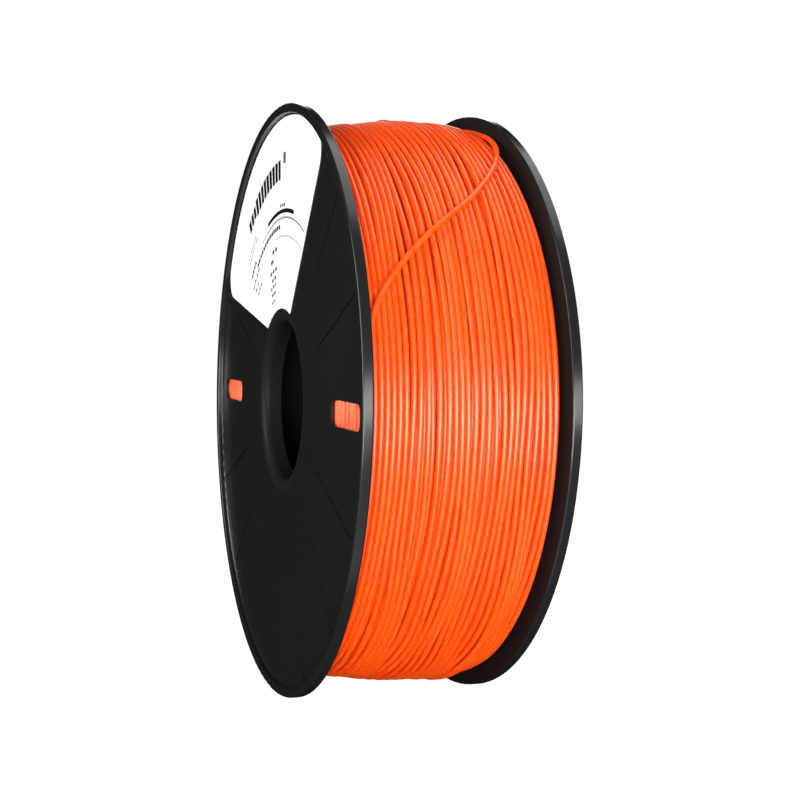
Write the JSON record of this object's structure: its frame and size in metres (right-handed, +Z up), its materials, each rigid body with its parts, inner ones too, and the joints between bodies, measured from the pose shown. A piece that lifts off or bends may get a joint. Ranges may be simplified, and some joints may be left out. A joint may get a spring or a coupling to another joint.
{
  "type": "filament spool",
  "caption": "Round two-flange spool wound with round printing filament, with a hollow drum, a central spindle bore and a fan-shaped label.",
  "frame": {"origin": "on the spool's axis, half way between its two flanges", "axes": "+Y along the spindle bore, away from the labelled flange; +Z up with the spool standing on its rims"},
  "size_m": [0.2, 0.067, 0.2],
  "materials": {
    "spool_plastic": "moulded, glossy black",
    "label_film": "glossy white film",
    "filament": "glossy orange, slightly translucent"
  },
  "bodies": {
    "root": {"near_flange": "spool_plastic", "far_flange": "spool_plastic", "core_drum": "spool_plastic", "front_label": "label_film", "filament_winding": "filament", "filament_tail": "filament", "filament_start": "filament"}
  },
  "joints": []
}
